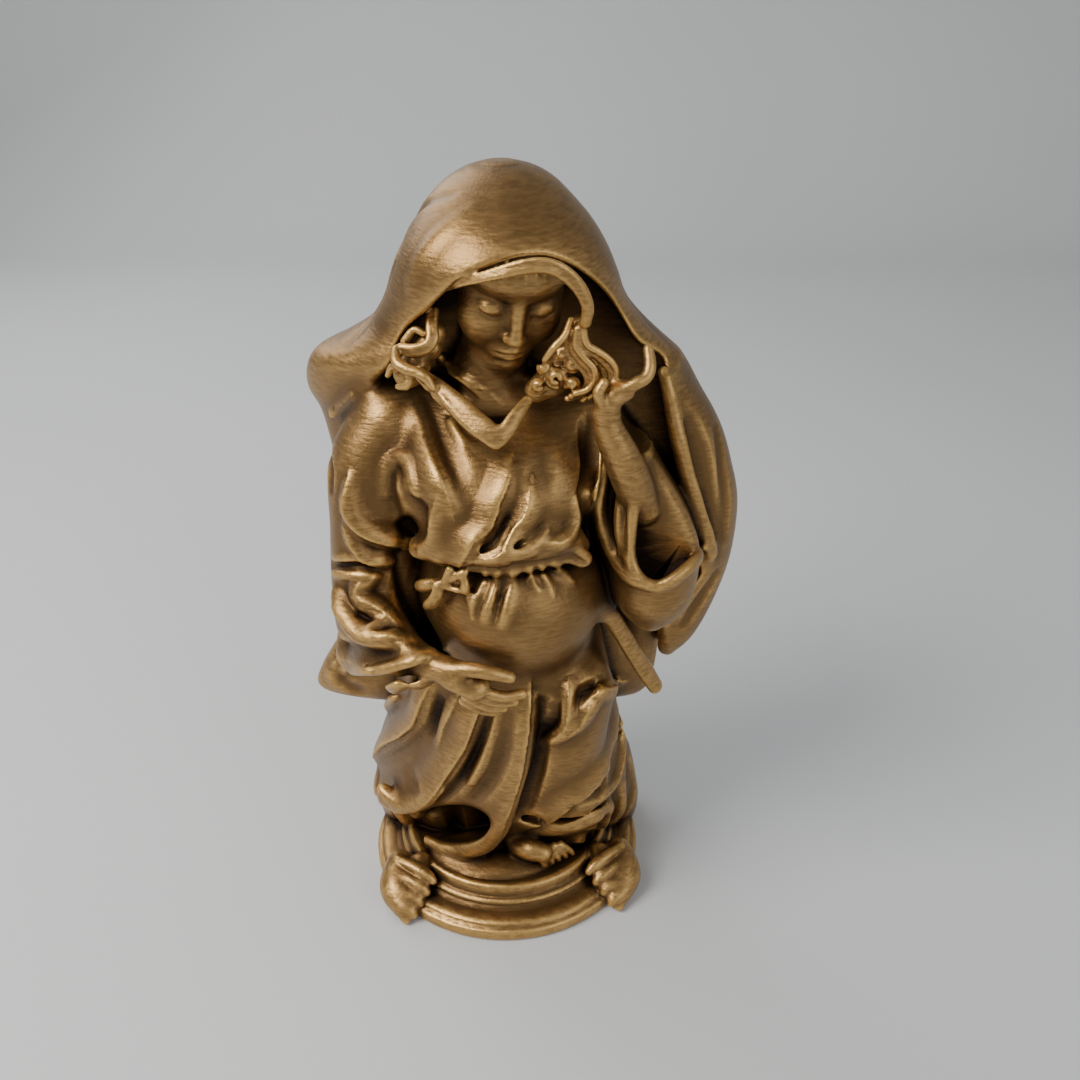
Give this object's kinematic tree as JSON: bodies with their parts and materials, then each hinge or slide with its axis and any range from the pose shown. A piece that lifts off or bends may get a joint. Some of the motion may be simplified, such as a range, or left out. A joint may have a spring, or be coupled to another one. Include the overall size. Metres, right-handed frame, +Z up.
{
  "type": "pregnant madonna statuette",
  "caption": "Cast statuette of an expectant mother in a long dress and hooded mantle, one hand under her belly and one raised to the veil, on a low round base.",
  "frame": {"origin": "centre of the round base's flat underside", "axes": "+Z up along the figure, -Y the way the figure faces, +X to the right of someone looking at its front"},
  "size_m": [0.154, 0.1048, 0.26],
  "materials": {
    "bronze_finish": "cold-cast bronze resin, dark umber patina in the hollows, rubbed golden brown on raised folds, semi-gloss"
  },
  "bodies": {
    "root": {"statuette": "bronze_finish"}
  },
  "joints": []
}
